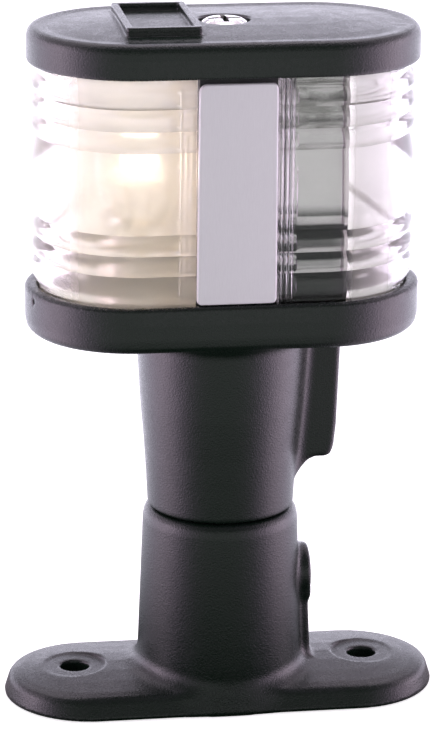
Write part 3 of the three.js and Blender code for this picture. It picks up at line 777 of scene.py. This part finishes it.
def cap_field(x, y, z):
    q = np.hypot(np.maximum(np.abs(x) - 17.05, 0), y) + 0 * z
    zz = z + 0 * x + 0 * y
    r = np.hypot(x, y)
    body = cap_profile(q, zz)
    outer = smax(box2(x + 12.9, y + 0.2, 7.0, 12.4, 0.7), np.abs(z - 132.9) - 1.6, 0.25)
    inner = smax(box2(x + 12.9, y + 0.2, 5.7, 11.1, 0.35) + 0 * z, 132.0 - z, 0.05)
    rim = smax(outer, -(box2(x + 12.9, y + 0.2, 5.7, 11.1, 0.35) + 0 * z), 0.25)
    body = smin(body, rim, 0.3)
    q2 = np.hypot(np.maximum(np.abs(x) - 16.6, 0), y)
    body = smax(body, -smax(q2 - 18.8, z - 129.3, 0.3), 0.3)
    body = smax(body, -(r - 2.5 + 0 * z), 0.2)
    return smax(body, -smax(r - 4.9, 131.4 - z, 0.15), 0.3)


pitch = 0.34
v, f, attr = skin(cap_field, (-38.0, -21.0, 125.3), (38.0, 21.0, 135.3), pitch)
cap = paint(new_object("cap_shell", v, f, "cap", nodes=("cap",), slot="black_polymer", attributes=attr), BLACK)
print("cap_shell", len(f))

# ------------------------------------------------------------------ lens halves

LENS_H = 16.6


def lens_outer():
    """[q, z] pairs up the outside of the lens: skirt, three ribs, wide barrel, three ribs, collar."""
    pts = [(18.4, 81.2), (18.4, 83.2), (18.55, 83.6), (18.9, 84.2)]

    def rib(z0, z1, valley0, valley1, peak, steps, power=2.4):
        for s in range(1, steps + 1):
            t = s / steps
            base = valley0 + (valley1 - valley0) * t
            pts.append((base + (peak - base) * max(0.0, 1 - abs(2 * t - 1) ** power), z0 + (z1 - z0) * t))

    for z0, z1 in ((84.2, 89.0), (89.0, 92.9), (92.9, 96.9)):
        rib(z0, z1, 18.9, 18.9, 19.75, 10)
    rib(96.9, 112.4, 18.9, 18.9, 20.0, 24, 2.0)
    for z0, z1 in ((112.4, 116.4), (116.4, 120.5), (120.5, 124.5)):
        rib(z0, z1, 18.9, 18.9, 19.75, 10)
    pts += [(18.5, 125.1), (18.4, 125.6), (18.4, 128.2)]
    return pts


def lens_inner():
    return [(16.2, 128.2), (16.2, 125.4), (16.2, 124.9), (16.25, 118), (16.3, 111), (16.3, 104.6), (16.3, 98), (16.25, 91), (16.2, 84.6), (16.2, 84.0), (16.2, 81.2)]


def lens_half(side):
    outer, inner = np.array(lens_outer()), np.array(lens_inner())
    pr = np.concatenate([outer, inner])
    is_inner = np.r_[np.zeros(len(outer), bool), np.ones(len(inner), bool)]
    band = (pr[:, 1] > 84.3) & (pr[:, 1] < 125.0)
    xs = list(np.linspace(7.8, 10.8, 31)) + list(np.linspace(10.95, LENS_H, 8))[:-1]
    path = [(x, 0.0, -1.0) for x in xs]
    path += [(LENS_H, math.cos(math.radians(a)), math.sin(math.radians(a))) for a in np.linspace(-90, 90, 65)]
    path += [(x, 0.0, 1.0) for x in reversed(xs)]
    v = []
    for cx, nx, ny in path:
        q = pr[:, 0].copy()
        if nx == 0.0 and cx < 10.85:
            # upright prisms on the inner face beside the joint
            t = (cx - 7.8) / 3.0
            prism = 1.0 - 0.55 * abs(math.sin(math.pi * 3 * t)) if t < 0.999 else 0.0
            q[is_inner & band] -= 1.0 * prism
            q[~is_inner & band] = np.minimum(q[~is_inner & band], 19.35)
        v.append(np.stack([cx + q * nx, q * ny, pr[:, 1]], 1))
    k = len(pr)
    faces = grid_faces(len(path), k, False, True)
    v = np.concatenate(v)
    # the two end faces, as strips between the outside and the inside
    for start in (0, (len(path) - 1) * k):
        faces.append(tuple(range(start, start + k)))
    v[:, 0] *= side
    return v, faces


for side, node in ((-1, "lens_left"), (1, "lens_right")):
    b = Build().add(*lens_half(side))
    # painted light: the left half takes the lit copy of the lens material
    paint(b.make(node + "_ribbed", "head", nodes=(node,), slot="clear_lens", sharp=50), LENS_LIT if side < 0 else LENS)

# ------------------------------------------------------------------ gaskets and spigot seal

for node, z0, z1, body in (("lens_gasket_lower", 80.3, 81.1, "head"), ("lens_gasket_upper", 128.3, 129.2, "cap")):
    outline = rounded([(16.6, z0), (18.55, z0), (18.55, z1), (16.6, z1)], 0.3, 4)
    paint(Build().add(*stadium_ring(16.6, outline)).make(node + "_ring", body, nodes=(node,), slot="seal_rubber"), RUBBER)
a = np.linspace(0, 2 * np.pi, 20, endpoint=False)
b = Build().add(*revolve(np.stack([11.7 + 0.68 * np.cos(a), 32.9 + 0.68 * np.sin(a)], 1), 120))
paint(b.make("spigot_seal_ring", "head", nodes=("spigot_seal",), slot="seal_rubber"), RUBBER)

# ------------------------------------------------------------------ front and back plates, cut-off shield

plate_outline = rounded([(-7.7, 83.5), (7.3, 83.5), (7.15, 125.2), (-7.45, 125.2)], [1.0, 1.0, 1.1, 1.6], 8)
for node, turn in (("front_plate", False), ("back_plate", True)):
    b = Build().add(*slab(plate_outline, -19.75, -18.55, 0.38, 5, turn))
    paint(b.make(node + "_pressed", "head", nodes=(node,), slot="satin_plate", sharp=60), PLATE)

shield_path = [(20.7, -14.6), (20.7, -12.3), (5.5, -12.3), (5.5, 12.3), (20.7, 12.3), (20.7, 14.6)]
b = Build().add(*ribbon(shield_path, 0.6, 78.5, 127.6, 0.7, 6))
paint(b.make("sector_shield_folded", "head", nodes=("sector_shield",), slot="bright_sheet", sharp=40), SHEET)

# ------------------------------------------------------------------ screws and washers


def thread(r, z0, z1, pitch_mm, depth, axis="Z", sides=48):
    """A closed threaded rod: its radius follows a helix."""
    rows = int((z1 - z0) / pitch_mm * 10)
    a = np.linspace(0, 2 * np.pi, sides, endpoint=False)
    z = np.linspace(z0, z1, rows)
    phase = (z[:, None] / pitch_mm - a[None, :] / (2 * np.pi)) % 1
    fade = np.clip(np.minimum(z - z0, z1 - z) / pitch_mm, 0, 1)[:, None]
    rad = r - depth * fade * (0.5 - 0.5 * np.cos(2 * np.pi * phase)) - 0.5 * depth * (1 - fade)
    rad[0] = rad[-1] = 0.0
    z = z.copy()
    z[0], z[-1] = z[1], z[-2]
    x, y = rad * np.cos(a), rad * np.sin(a)
    zz = np.broadcast_to(z[:, None], x.shape)
    v = np.stack([x, y, zz] if axis == "Z" else [zz, x, y], -1).reshape(-1, 3)
    return v, grid_faces(rows, sides, False, True)


def cap_head(x, y, z):
    r = np.hypot(x, y)
    d = pan(r + 0 * z, z + 0 * x + 0 * y)
    cross = np.minimum(smax(np.abs(x) - 0.55, np.abs(y) - 3.1, 0.3), smax(np.abs(y) - 0.55, np.abs(x) - 3.1, 0.3))
    cross = np.minimum(cross, r - 1.2)
    return smax(d, -smax(cross + (133.7 - z) * 0.12, 132.55 - z, 0.15), 0.14)


pan = Profile(rounded([(-20, 132.05), (4.45, 132.05), (4.4, 132.9), (3.3, 133.5), (0, 133.75), (-20, 133.75)], [0, 0.12, 0.5, 1.2, 0, 0]), step=0.03)
v, f, attr = skin(cap_head, (-4.9, -4.9, 131.7), (4.9, 4.9, 134.1), 0.085)
cap_screw_head = paint(new_object("cap_screw_head", v, f, "cap_screw", nodes=("cap_screw",), slot="stainless", attributes=attr), STEEL)
b = Build().add(*thread(1.98, 75.3, 86.0, 0.7, 0.36))
b.add(*revolve(rounded([(0, 85.9), (1.95, 85.9), (1.95, 132.2), (0, 132.2)], [0, 0.2, 0.1, 0], 3), 48, closed=False))
paint(b.make("cap_screw_shank", "cap_screw", slot="stainless"), STEEL)


def clamp_head(x, y, z):
    rb = np.hypot(y, z - 23.3)
    d = cheese(rb + 0 * x, x + 0 * y + 0 * z)
    return smax(d, -smax(np.abs(z - 23.3) - 0.4 + 0 * y, 16.6 - x, 0.08), 0.12)


cheese = Profile(rounded([(-20, 15.85), (3.4, 15.85), (3.3, 16.95), (2.5, 17.5), (-20, 17.5)], [0, 0.1, 0.4, 0.5, 0]), step=0.03)
v, f, attr = skin(clamp_head, (15.5, -3.9, 19.4), (17.9, 3.9, 27.2), 0.085)
paint(new_object("clamp_screw_head", v, f, "clamp_screw", nodes=("clamp_screw",), slot="stainless", attributes=attr), DULL)
v, f = thread(1.98, 12.3, 15.9, 0.7, 0.3, "X")
v = v + np.array([0, 0, 23.3])
b = Build().add(v, f)
b.add(*revolve([(0, 11.75), (1.1, 11.75), (1.2, 11.85), (1.5, 12.35), (1.5, 12.6), (0, 12.6)], 48, (0, 0, 23.3), "X", closed=False))
paint(b.make("clamp_screw_thread", "clamp_screw", slot="stainless"), DULL)

b = Build().add(*revolve(rounded([(2.2, 15.3), (3.6, 15.3), (3.6, 15.75), (2.2, 15.75)], 0.12, 3), 64, (0, 0, 23.3), "X"))
paint(b.make("clamp_washer_ring", "clamp_washer", nodes=("clamp_washer",), slot="stainless"), STEEL)
b = Build().add(*revolve(rounded([(2.2, 131.5), (4.4, 131.5), (4.4, 131.95), (2.2, 131.95)], 0.12, 3), 80))
paint(b.make("cap_washer_ring", "cap_washer", nodes=("cap_washer",), slot="stainless"), STEEL)

for side, node in ((-1, "bracket_screw_left"), (1, "bracket_screw_right")):
    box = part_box(node)
    foot = box[0].z / MM
    b = Build()
    cx = side * 28.6
    b.add(*revolve(rounded([(0, foot), (0.9, foot), (0.9, 78.25), (2.1, 78.25), (2.1, 78.9), (1.5, 79.45), (0, 79.6)], [0, 0.2, 0, 0.1, 0.3, 0.4, 0], 3), 48, (cx, 0, 0), closed=False))
    paint(b.make(node + "_round", "head", nodes=(node,), slot="stainless"), STEEL)

# ------------------------------------------------------------------ lamps

for side, word in ((-1, "left"), (1, "right")):
    cx = side * 16.0
    body = "lamp_" + word
    # plated bayonet base with a rolled rim and two pins
    base = rounded([(0, 82.2), (3.2, 82.2), (3.4, 82.6), (6.6, 82.9), (7.35, 83.5), (7.35, 90.6), (7.05, 91.0), (7.05, 91.6), (7.35, 92.0), (7.35, 92.6), (6.2, 92.6), (6.2, 86.0), (5.4, 84.3), (0, 84.3)],
                   [0, 0.2, 0.2, 0.5, 0.4, 0.25, 0.2, 0.2, 0.25, 0.2, 0.2, 0.3, 0.3, 0], 3)
    b = Build().add(*revolve(base, 80, (cx, 0, 0), closed=False))
    for t in (-1, 1):
        pin = rounded([(0, 6.6), (0.8, 6.6), (0.8, 8.2), (0.55, 8.7), (0, 8.72)], [0, 0, 0.2, 0.2, 0], 3)
        pin[:, 1] *= t
        b.add(*revolve(pin, 24, (cx, 0, 88.0), "Y", closed=False))
    paint(b.make("lamp_base_" + word + "_plated", body, nodes=("lamp_base_" + word,), slot="brass"), NICKEL)
    # blown glass envelope
    n = 40
    outer = [(5.5, 86.4), (5.5, 91.0), (5.6, 93.0), (6.0, 95.2), (6.7, 97.4)]
    for s in range(1, n + 1):
        ang = math.radians(-55 + 145 * s / n)
        outer.append((max(8.6 * math.cos(ang), 0.0), 104.6 + 8.6 * math.sin(ang)))
    inner = [(max(8.0 * math.cos(math.radians(90 - 145 * s / n)), 0.0), 104.6 + 8.0 * math.sin(math.radians(90 - 145 * s / n))) for s in range(0, n + 1)]
    inner += [(5.45, 95.4), (5.05, 93.2), (4.95, 91.0), (4.95, 86.4)]
    # the two skins share no point on the axis, so the foot rim closes the wall
    v1, f1 = revolve(np.array(outer + inner), 72, (cx, 0, 0), closed=True)
    b = Build().add(v1, f1)
    paint(b.make("lamp_glass_" + word + "_blown", body, nodes=("lamp_glass_" + word,), slot="lamp_glass", sharp=60), BULB)
    # stem, leads and coiled filament
    b = Build()
    stem = rounded([(0, 84.9), (2.6, 84.9), (2.6, 87), (1.6, 90), (1.3, 95.0), (1.7, 96.3), (0, 96.3)], [0, 0.3, 1, 1, 1, 0.4, 0], 4)
    b.add(*revolve(stem, 40, (cx, 0, 0), closed=False))
    for t in (-1, 1):
        lead = [(cx + t * 0.8, 0, 95.8), (cx + t * 1.2, 0, 97.5), (cx + t * 2.4, 0, 100.5), (cx + t * 3.2, 0, 103.0), (cx + t * 3.35, 0, 104.6)]
        s = np.linspace(0, 1, 25)
        pts = np.stack([np.interp(s, np.linspace(0, 1, 5), [p[i] for p in lead]) for i in range(3)], 1)
        b.add(*coil(pts, 0.2, 8))
    support = b
    turns, m = 13, 13 * 14
    s = np.linspace(0, 1, m)
    pts = np.stack([cx - 3.35 + 6.7 * s, 0.36 * np.cos(2 * np.pi * turns * s), 104.6 + 0.36 * np.sin(2 * np.pi * turns * s)], 1)
    wire = Build().add(*coil(pts, 0.11, 8))
    o = support.make("lamp_stem_" + word, body, nodes=("lamp_filament_" + word,), slot="filament")
    paint(o, NICKEL)
    o = wire.make("lamp_filament_" + word + "_coil", body, slot="filament")
    paint(o, LIT if side < 0 else FILAMENT)

# ------------------------------------------------------------------ nodes kept from the CAD, with a smooth copy of their round faces

KEPT = {
    "clamp_insert": ("base", BRASS, "brass"), "cap_screw_insert": ("head", BRASS, "brass"), "partition": ("head", WHITE, "white_polymer"),
    "lamp_bracket": ("head", SHEET, "bright_sheet"), "socket_shell_left": ("head", NICKEL, "brass"), "socket_shell_right": ("head", NICKEL, "brass"),
    "socket_insulator_left": ("head", PHENOLIC, "phenolic"), "socket_insulator_right": ("head", PHENOLIC, "phenolic"),
    "contact_left": ("contact_left", BRASS, "brass"), "contact_right": ("contact_right", BRASS, "brass"),
}
for node, (body, material, slot) in KEPT.items():
    source = frame["nodes"][node]
    o = source.copy()
    o.data = source.data.copy()
    o.name = node + "_finished"
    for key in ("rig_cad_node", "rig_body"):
        if key in o:
            del o[key]
    o.parent = None
    bpy.context.scene.collection.objects.link(o)
    import bmesh
    m = bmesh.new()
    m.from_mesh(o.data)
    bmesh.ops.remove_doubles(m, verts=m.verts, dist=1e-6)
    bmesh.ops.dissolve_limit(m, angle_limit=math.radians(1.0), verts=m.verts, edges=m.edges)
    sharp = [e for e in m.edges if len(e.link_faces) == 2 and e.calc_face_angle(0) > math.radians(35)]
    m.to_mesh(o.data)
    m.free()
    bevel = o.modifiers.new("edge", "BEVEL")
    bevel.width = 0.00018
    bevel.segments = 2
    bevel.limit_method = "ANGLE"
    bevel.angle_limit = math.radians(35)
    bevel.use_clamp_overlap = True
    o.data.shade_smooth()
    bpy.context.view_layer.update()
    done = bpy.data.meshes.new_from_object(o.evaluated_get(bpy.context.evaluated_depsgraph_get()))
    o.modifiers.clear()
    o.data = done
    o.data.shade_smooth()
    o.data.set_sharp_from_angle(angle=math.radians(33))
    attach(o, body)
    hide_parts(node)
    paint(o, material)
    if node == "partition":
        # the two flanges that carry the plates are moulded in black
        o.data.materials.append(BLACK_INNER)
        for face in o.data.polygons:
            if abs((o.matrix_world @ face.center).y) > 0.0165:
                face.material_index = 1

# ------------------------------------------------------------------ stage, light and camera

scene = bpy.context.scene
floor_mesh = bpy.data.meshes.new("floor")
floor_mesh.from_pydata([(-6, -6, 0), (6, -6, 0), (6, 6, 0), (-6, 6, 0)], [], [(0, 1, 2, 3)])
floor = bpy.data.objects.new("floor", floor_mesh)
floor.location.z = -0.0001
scene.collection.objects.link(floor)

FRONT = (-0.08, -0.86, 0.50)  # the unlit side of the studio
FRONT_LOW = (-0.09, -0.996, 0.0)


def studio(tree, vector, front=FRONT):
    """Light of the studio by direction: dark in front, tinted panels at both sides, white behind."""
    dot = tree.nodes.new("ShaderNodeVectorMath")
    dot.operation = "DOT_PRODUCT"
    tree.links.new(vector, dot.inputs[0])
    dot.inputs[1].default_value = front
    ramp = tree.nodes.new("ShaderNodeMapRange")
    tree.links.new(dot.outputs["Value"], ramp.inputs["Value"])
    for key, x in zip(("From Min", "From Max", "To Min", "To Max"), (-1, 1, 0, 1)):
        ramp.inputs[key].default_value = x
    cr = tree.nodes.new("ShaderNodeValToRGB")
    tree.links.new(ramp.outputs[0], cr.inputs[0])
    stops = [(0.0, (0.55, 0.535, 0.62)), (0.18, (0.55, 0.535, 0.63)), (0.34, (0.78, 0.67, 0.84)), (0.48, (1.0, 0.84, 1.0)), (0.62, (0.98, 0.81, 1.0)),
             (0.75, (0.42, 0.345, 0.45)), (0.88, (0.17, 0.165, 0.175)), (0.95, (0.15, 0.16, 0.154)), (1.0, (0.145, 0.158, 0.15))]
    while len(cr.color_ramp.elements) < len(stops):
        cr.color_ramp.elements.new(0.5)
    for e, (at, c) in zip(cr.color_ramp.elements, stops):
        e.position = at
        e.color = (*c, 1)
    return cr.outputs["Color"]


def indirect(tree):
    """1 for rays that have been reflected, 0 for what is seen directly or through glass."""
    lp = tree.nodes.new("ShaderNodeLightPath")
    add = tree.nodes.new("ShaderNodeMath")
    add.operation = "ADD"
    tree.links.new(lp.outputs["Glossy Depth"], add.inputs[0])
    tree.links.new(lp.outputs["Diffuse Depth"], add.inputs[1])
    step = tree.nodes.new("ShaderNodeMath")
    step.operation = "GREATER_THAN"
    tree.links.new(add.outputs[0], step.inputs[0])
    step.inputs[1].default_value = 0.5
    return step.outputs[0]


ROOM = 4.0
k = Nodes("floor")
d = k.t.nodes.new("ShaderNodeBsdfDiffuse")
d.inputs["Color"].default_value = (0.8, 0.8, 0.8, 1)
e = k.t.nodes.new("ShaderNodeEmission")
e.inputs["Color"].default_value = (1, 1, 1, 1)
e.inputs["Strength"].default_value = 0.7
direct = k.t.nodes.new("ShaderNodeAddShader")
k.t.links.new(d.outputs[0], direct.inputs[0])
k.t.links.new(e.outputs[0], direct.inputs[1])
flat = k.t.nodes.new("ShaderNodeVectorMath")
flat.operation = "NORMALIZE"
k.t.links.new(k.coord, flat.inputs[0])
length = k.t.nodes.new("ShaderNodeVectorMath")
length.operation = "LENGTH"
k.t.links.new(k.coord, length.inputs[0])
far = k.span(length.outputs["Value"], 0.06, 0.24, 0.0, 0.155, True)
glow = k.mix(k.span(length.outputs["Value"], 0.03, 0.17, 0.0, 1.0), (0, 0, 0), studio(k.t, flat.outputs[0], FRONT_LOW))
lift = k.t.nodes.new("ShaderNodeMix")
lift.data_type = "RGBA"
lift.blend_type = "LIGHTEN"
lift.inputs[0].default_value = 1.0
k.t.links.new(glow, lift.inputs[6])
k.t.links.new(k.mix(far, (0, 0, 0), (0.90, 1.0, 0.93)), lift.inputs[7])
bounce = k.t.nodes.new("ShaderNodeEmission")
k.t.links.new(lift.outputs[2], bounce.inputs["Color"])
bounce.inputs["Strength"].default_value = ROOM
m = k.t.nodes.new("ShaderNodeMixShader")
k.t.links.new(indirect(k.t), m.inputs[0])
k.t.links.new(direct.outputs[0], m.inputs[1])
k.t.links.new(bounce.outputs[0], m.inputs[2])
k.t.links.new(m.outputs[0], k.out.inputs[0])
floor.data.materials.append(k.m)

world = bpy.data.worlds.new("studio")
scene.world = world
world.use_nodes = True
t = world.node_tree
t.nodes.clear()
out = t.nodes.new("ShaderNodeOutputWorld")
coord = t.nodes.new("ShaderNodeTexCoord")
room = t.nodes.new("ShaderNodeBackground")
t.links.new(studio(t, coord.outputs["Generated"]), room.inputs["Color"])
# the walls are brightest near the horizon
height = t.nodes.new("ShaderNodeSeparateXYZ")
t.links.new(coord.outputs["Generated"], height.inputs[0])
fall = t.nodes.new("ShaderNodeMapRange")
fall.interpolation_type = "SMOOTHSTEP"
t.links.new(height.outputs["Z"], fall.inputs["Value"])
for key, x in zip(("From Min", "From Max", "To Min", "To Max"), (0.22, 0.45, ROOM, 0.28 * ROOM)):
    fall.inputs[key].default_value = x
t.links.new(fall.outputs[0], room.inputs["Strength"])
paper = t.nodes.new("ShaderNodeBackground")
paper.inputs["Color"].default_value = (1, 1, 1, 1)
paper.inputs["Strength"].default_value = 1.05
mix = t.nodes.new("ShaderNodeMixShader")
t.links.new(indirect(t), mix.inputs[0])
t.links.new(paper.outputs[0], mix.inputs[1])
t.links.new(room.outputs[0], mix.inputs[2])
t.links.new(mix.outputs[0], out.inputs[0])


def soft_box(name, place, target, size, power, colour=(1, 1, 1)):
    light = bpy.data.lights.new(name, "AREA")
    light.shape = "RECTANGLE"
    light.size, light.size_y = size
    light.energy = power
    light.color = colour
    o = bpy.data.objects.new(name, light)
    o.location = place
    o.rotation_euler = (Vector(target) - Vector(place)).to_track_quat("-Z", "Y").to_euler()
    scene.collection.objects.link(o)
    return o


soft_box("top", (0.0, 0.14, 0.75), (0, 0.02, 0.1), (0.8, 0.3), 1.2)
soft_box("rear", (0.0, 0.62, 0.66), (0, 0, 0.132), (1.0, 0.10), 0.7, (0.98, 0.95, 1.0))
soft_box("left", (-0.75, -0.02, 0.3), (0, 0, 0.07), (0.2, 0.7), 0.9, (1.0, 0.88, 1.0))
soft_box("right", (0.75, 0.05, 0.3), (0, 0, 0.07), (0.2, 0.7), 0.8, (1.0, 0.88, 1.0))

camera_data = bpy.data.cameras.new("camera")
camera = bpy.data.objects.new("camera", camera_data)
scene.collection.objects.link(camera)
camera_data.sensor_fit = "AUTO"
camera_data.sensor_width = 36.0
camera_data.lens = 168.55
camera_data.clip_start = 0.01
camera_data.dof.use_dof = False
eye = Vector((-0.0957764, -0.6204790, 0.2582000))
aim = Vector((-0.0008106, 0.0001240, 0.0658900))
camera.location = eye
look = (aim - eye).to_track_quat("-Z", "Y").to_matrix().to_4x4()
from mathutils import Matrix
camera.rotation_euler = (look @ Matrix.Rotation(math.radians(0.5), 4, "Z")).to_euler()
scene.camera = camera
scene.view_settings.view_transform = "Standard"
scene.view_settings.look = "None"
scene.view_settings.exposure = 0.0
scene.view_settings.gamma = 1.0
